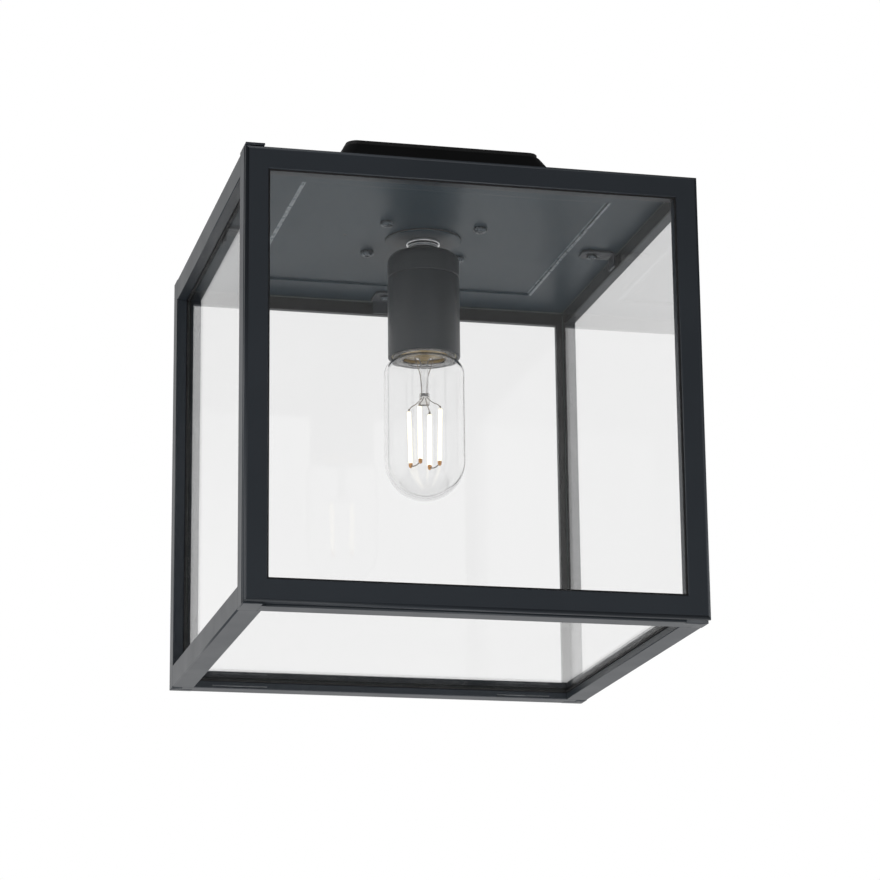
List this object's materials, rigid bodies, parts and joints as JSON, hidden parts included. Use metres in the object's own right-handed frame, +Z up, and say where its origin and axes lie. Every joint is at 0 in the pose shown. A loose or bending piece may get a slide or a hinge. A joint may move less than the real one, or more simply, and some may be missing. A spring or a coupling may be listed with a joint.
{
  "type": "porch ceiling lantern",
  "caption": "Square glazed box lantern for a porch ceiling, with a tapered square canopy, a pivot-hung glass door and a screw-in lamp.",
  "frame": {"origin": "centre of the ceiling face of the fixing bracket; everything hangs below z = 0", "axes": "+Z up into the ceiling, -Y out of the hinged glass door, +X to the right seen from the door"},
  "size_m": [0.24, 0.24, 0.27],
  "materials": {
    "cage_paint": "satin dark grey-black powder coat",
    "roof_paint": "satin powder coat, a shade lighter under the roof",
    "canopy_paint": "satin black powder coat",
    "clear_glass": "clear flat glass",
    "black_rubber": "black bedding strip, matte",
    "holder_black": "satin black",
    "bright_plate": "bright plated",
    "zinc_steel": "zinc plated",
    "contact_brass": "plain brass",
    "cream_moulding": "heat resisting moulding",
    "wire_cover": "silicone covered lead",
    "bulb_glass": "clear blown glass",
    "filament_gold": "phosphor coated glow rods"
  },
  "bodies": {
    "cage": {"post_front_left": "cage_paint", "post_front_right": "cage_paint", "post_back_left": "cage_paint", "post_back_right": "cage_paint", "top_rail_front": "cage_paint", "top_rail_back": "cage_paint", "top_rail_left": "cage_paint", "top_rail_right": "cage_paint", "bottom_rail_front": "cage_paint", "bottom_rail_back": "cage_paint", "bottom_rail_left": "cage_paint", "bottom_rail_right": "cage_paint", "pane_left": "clear_glass", "pane_right": "clear_glass", "pane_back": "clear_glass", "pane_floor": "clear_glass", "seal_left": "black_rubber", "seal_right": "black_rubber", "seal_back": "black_rubber", "seal_floor": "black_rubber", "floor_springs": "bright_plate", "pivot_plate_top": "cage_paint", "pivot_plate_bottom": "cage_paint", "door_magnets": "bright_plate", "clip_screws": "bright_plate", "ceiling_gasket": "black_rubber", "ceiling_bracket": "zinc_steel", "cable_grommet": "black_rubber", "bracket_standoffs": "zinc_steel", "canopy": "canopy_paint", "roof_plate": "roof_paint", "roof_screws": "bright_plate", "terminal_block": "cream_moulding", "earth_screw": "contact_brass", "holder_disc": "holder_black", "ring_nut": "bright_plate", "nipple_nut": "zinc_steel", "holder_nipple": "zinc_steel", "holder_cap": "holder_black", "holder_sleeve": "holder_black", "holder_insert": "cream_moulding", "thread_shell": "contact_brass", "holder_contacts": "contact_brass", "lead_wires": "wire_cover"},
    "door": {"door_stile_left": "cage_paint", "door_stile_right": "cage_paint", "door_rail_top": "cage_paint", "door_rail_bottom": "cage_paint", "door_pane": "clear_glass", "door_seal": "black_rubber", "door_strikes": "bright_plate"},
    "lamp_contact": {"bulb_contact": "cream_moulding"},
    "lamp": {"bulb_glass": "bulb_glass", "bulb_stem": "bulb_glass", "bulb_filaments": "filament_gold", "bulb_wires": "bright_plate", "bulb_cap": "bright_plate"},
    "left_clip": {"clip_left": "cage_paint"},
    "right_clip": {"clip_right": "cage_paint"},
    "back_clip": {"clip_back": "cage_paint"}
  },
  "joints": [
    {"name": "door_swing", "type": "hinge", "parent": "cage", "child": "door", "pos_m": [-0.1178, -0.1178, -0.15], "axis": [0, 0, -1], "range_deg": [0, 105]},
    {"name": "bulb_travel", "type": "slide", "parent": "cage", "child": "lamp_contact", "axis": [0, 0, -1], "range_m": [0, 0.0109]},
    {"name": "bulb_turn", "type": "hinge", "parent": "lamp_contact", "child": "lamp", "pos_m": [0, 0, -0.12], "axis": [0, 0, -1], "range_deg": [0, 1080]},
    {"name": "clip_left_turn", "type": "hinge", "parent": "cage", "child": "left_clip", "pos_m": [-0.097, 0, -0.039], "axis": [0, 0, 1], "range_deg": [-90, 90]},
    {"name": "clip_right_turn", "type": "hinge", "parent": "cage", "child": "right_clip", "pos_m": [0.097, 0, -0.039], "axis": [0, 0, 1], "range_deg": [-90, 90]},
    {"name": "clip_back_turn", "type": "hinge", "parent": "cage", "child": "back_clip", "pos_m": [0, 0.097, -0.039], "axis": [0, 0, 1], "range_deg": [-90, 90]}
  ],
  "couplings": [
    {"joint": "bulb_travel", "follows": "bulb_turn", "m_per_rad": 0.000576}
  ]
}
